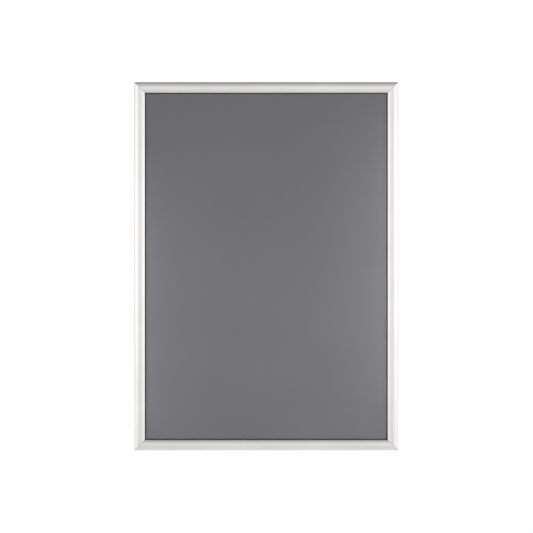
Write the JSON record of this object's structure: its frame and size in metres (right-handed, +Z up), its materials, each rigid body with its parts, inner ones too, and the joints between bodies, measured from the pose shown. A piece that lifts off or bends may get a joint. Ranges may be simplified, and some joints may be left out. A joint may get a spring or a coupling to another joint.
{
  "type": "poster frame",
  "caption": "Wall-mounted click-open poster frame in silver aluminium, with mitred corners, hinged spring-held cover rails, a clear cover sheet and a grey backing panel.",
  "frame": {"origin": "the middle of the top base rail's back face, where the frame rests on the wall", "axes": "+Z up along the frame's height, +X to the right seen from the front, front facing -Y, wall face at y = 0"},
  "size_m": [0.624, 0.012, 0.871],
  "materials": {
    "anodised_aluminium": "satin silver anodised",
    "mill_aluminium": "satin, natural anodised",
    "zinc_plated_steel": "bright zinc plated",
    "black_steel": "black oxide",
    "spring_steel": "bright spring steel",
    "grey_styrene": "matt, extruded",
    "clear_plastic": "clear, anti-glare"
  },
  "bodies": {
    "frame": {"base_rail_top": "mill_aluminium", "base_rail_bottom": "mill_aluminium", "base_rail_left": "mill_aluminium", "base_rail_right": "mill_aluminium", "corner_key_top_left": "zinc_plated_steel", "corner_key_top_right": "zinc_plated_steel", "corner_key_bottom_right": "zinc_plated_steel", "corner_key_bottom_left": "zinc_plated_steel", "set_screw_top_left_1": "black_steel", "set_screw_top_left_2": "black_steel", "set_screw_top_right_1": "black_steel", "set_screw_top_right_2": "black_steel", "set_screw_bottom_right_1": "black_steel", "set_screw_bottom_right_2": "black_steel", "set_screw_bottom_left_1": "black_steel", "set_screw_bottom_left_2": "black_steel", "spring_top_1": "spring_steel", "spring_top_2": "spring_steel", "spring_top_3": "spring_steel", "spring_bottom_1": "spring_steel", "spring_bottom_2": "spring_steel", "spring_bottom_3": "spring_steel", "spring_left_1": "spring_steel", "spring_left_2": "spring_steel", "spring_left_3": "spring_steel", "spring_left_4": "spring_steel", "spring_right_1": "spring_steel", "spring_right_2": "spring_steel", "spring_right_3": "spring_steel", "spring_right_4": "spring_steel", "backing_panel": "grey_styrene", "clear_cover_sheet": "clear_plastic"},
    "top_cover": {"cover_rail_top": "anodised_aluminium"},
    "bottom_cover": {"cover_rail_bottom": "anodised_aluminium"},
    "left_cover": {"cover_rail_left": "anodised_aluminium"},
    "right_cover": {"cover_rail_right": "anodised_aluminium"}
  },
  "joints": [
    {"name": "top_cover_hinge", "type": "hinge", "parent": "frame", "child": "top_cover", "pos_m": [0, -0.0055, 0.0103], "axis": [-1, 0, 0], "range_deg": [0, 85], "deforming": ["spring_top_1", "spring_top_2", "spring_top_3"]},
    {"name": "bottom_cover_hinge", "type": "hinge", "parent": "frame", "child": "bottom_cover", "pos_m": [0, -0.0055, -0.8563], "axis": [1, 0, 0], "range_deg": [0, 85], "deforming": ["spring_bottom_1", "spring_bottom_2", "spring_bottom_3"]},
    {"name": "left_cover_hinge", "type": "hinge", "parent": "frame", "child": "left_cover", "pos_m": [-0.3098, -0.0055, -0.423], "axis": [0, 0, -1], "range_deg": [0, 85], "deforming": ["spring_left_1", "spring_left_2", "spring_left_3", "spring_left_4"]},
    {"name": "right_cover_hinge", "type": "hinge", "parent": "frame", "child": "right_cover", "pos_m": [0.3098, -0.0055, -0.423], "axis": [0, 0, 1], "range_deg": [0, 85], "deforming": ["spring_right_1", "spring_right_2", "spring_right_3", "spring_right_4"]}
  ]
}
